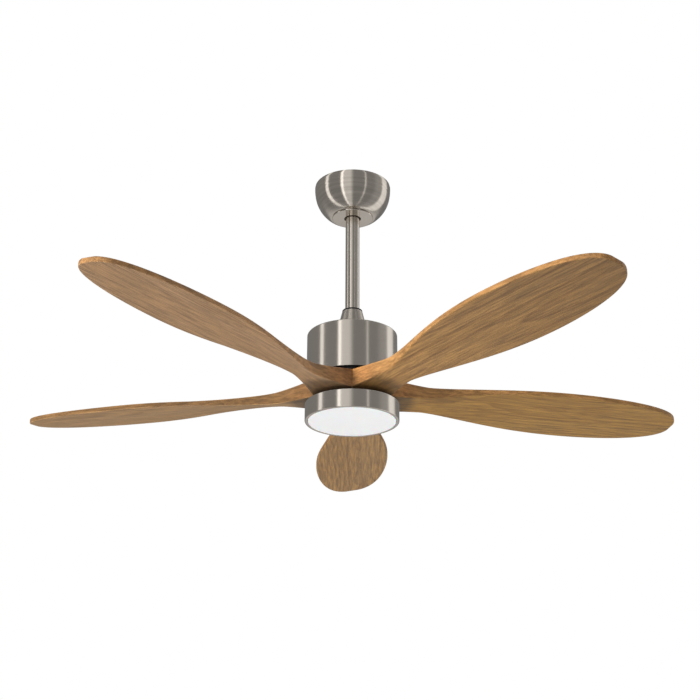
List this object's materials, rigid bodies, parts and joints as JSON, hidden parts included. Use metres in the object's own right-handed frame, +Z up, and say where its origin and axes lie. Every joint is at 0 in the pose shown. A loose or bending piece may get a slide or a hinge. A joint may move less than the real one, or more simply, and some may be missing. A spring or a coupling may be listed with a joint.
{
  "type": "ceiling fan with light",
  "caption": "Ceiling fan with brushed nickel canopy, downrod, drum motor housing, carved wooden blades and a round flush lamp with an opal lens.",
  "frame": {"origin": "middle of the hanger bracket's ceiling face, in the plane of the ceiling", "axes": "+Z up into the ceiling, along the downrod and motor axis; +Y towards the tip of blade_1 at rest"},
  "size_m": [1.2616, 1.2043, 0.4838],
  "materials": {
    "brushed_nickel": "brushed",
    "zinc_steel": "zinc plated",
    "black_steel": "black coated",
    "lamination_steel": "laminated",
    "copper": "enamelled wire",
    "magnet": "matte",
    "wood": "satin oiled",
    "rubber": "matte",
    "black_plastic": "matte",
    "white_plastic": "matte",
    "opal_plastic": "opal satin",
    "aluminium": "bare"
  },
  "bodies": {
    "canopy_mount": {"hanger_bracket": "zinc_steel", "bracket_key": "zinc_steel", "canopy": "brushed_nickel", "canopy_trim_disc": "brushed_nickel", "canopy_screw_1": "zinc_steel", "canopy_screw_2": "zinc_steel", "receiver_box": "black_plastic", "terminal_block": "white_plastic"},
    "hanger_ball": {"hanger_ball": "black_plastic"},
    "drop": {"hanger_pin": "zinc_steel", "downrod": "brushed_nickel", "coupling": "black_steel", "coupling_pin": "zinc_steel", "cotter_pin": "zinc_steel", "coupling_set_screw_1": "zinc_steel", "coupling_set_screw_2": "zinc_steel", "motor_housing": "brushed_nickel", "motor_mount_plate": "zinc_steel", "housing_screw_1": "zinc_steel", "housing_screw_2": "zinc_steel", "housing_screw_3": "zinc_steel", "motor_shaft": "zinc_steel", "lower_bearing_inner_race": "zinc_steel", "upper_bearing_inner_race": "zinc_steel", "stator_core": "lamination_steel", "stator_winding": "copper", "lamp_housing": "brushed_nickel", "led_board": "aluminium", "led_driver": "white_plastic", "shaft_nut": "zinc_steel", "lens_clip_1": "zinc_steel", "lens_clip_2": "zinc_steel", "lens_clip_3": "zinc_steel"},
    "coupling_cover": {"coupling_cover": "brushed_nickel", "rod_grommet": "rubber"},
    "rotor": {"rotor_bell": "black_steel", "rotor_cover": "black_steel", "magnet_ring": "magnet", "lower_bearing_outer_race": "zinc_steel", "upper_bearing_outer_race": "zinc_steel", "blade_clamp_plate": "black_steel", "blade_1": "wood", "blade_2": "wood", "blade_3": "wood", "blade_4": "wood", "blade_5": "wood", "blade_screw_1": "zinc_steel", "blade_screw_2": "zinc_steel", "blade_screw_3": "zinc_steel", "blade_screw_4": "zinc_steel", "blade_screw_5": "zinc_steel", "blade_screw_6": "zinc_steel", "blade_screw_7": "zinc_steel", "blade_screw_8": "zinc_steel", "blade_screw_9": "zinc_steel", "blade_screw_10": "zinc_steel"},
    "bearing_cages": {"lower_bearing_ball_cage": "zinc_steel", "upper_bearing_ball_cage": "zinc_steel"},
    "lens": {"lens": "opal_plastic"}
  },
  "joints": [
    {"name": "hanger_tilt_x", "type": "hinge", "parent": "canopy_mount", "child": "hanger_ball", "pos_m": [0, 0, -0.037], "axis": [1, 0, 0], "range_deg": [-2.5, 2.5]},
    {"name": "hanger_tilt_y", "type": "hinge", "parent": "hanger_ball", "child": "drop", "pos_m": [0, 0, -0.024], "axis": [0, 1, 0], "range_deg": [-2.5, 2.5]},
    {"name": "rotor_spin", "type": "hinge", "parent": "drop", "child": "rotor", "pos_m": [0, 0, -0.425], "axis": [0, 0, 1], "continuous": true},
    {"name": "bearing_cage_spin", "type": "hinge", "parent": "drop", "child": "bearing_cages", "pos_m": [0, 0, -0.398], "axis": [0, 0, 1], "continuous": true},
    {"name": "coupling_cover_slide", "type": "slide", "parent": "drop", "child": "coupling_cover", "axis": [0, 0, 1], "range_m": [0, 0.12]},
    {"name": "lens_release", "type": "slide", "parent": "drop", "child": "lens", "axis": [0, 0, -1], "range_m": [0, 0.04]}
  ],
  "couplings": [
    {"joint": "bearing_cage_spin", "follows": "rotor_spin", "ratio": 0.628}
  ]
}
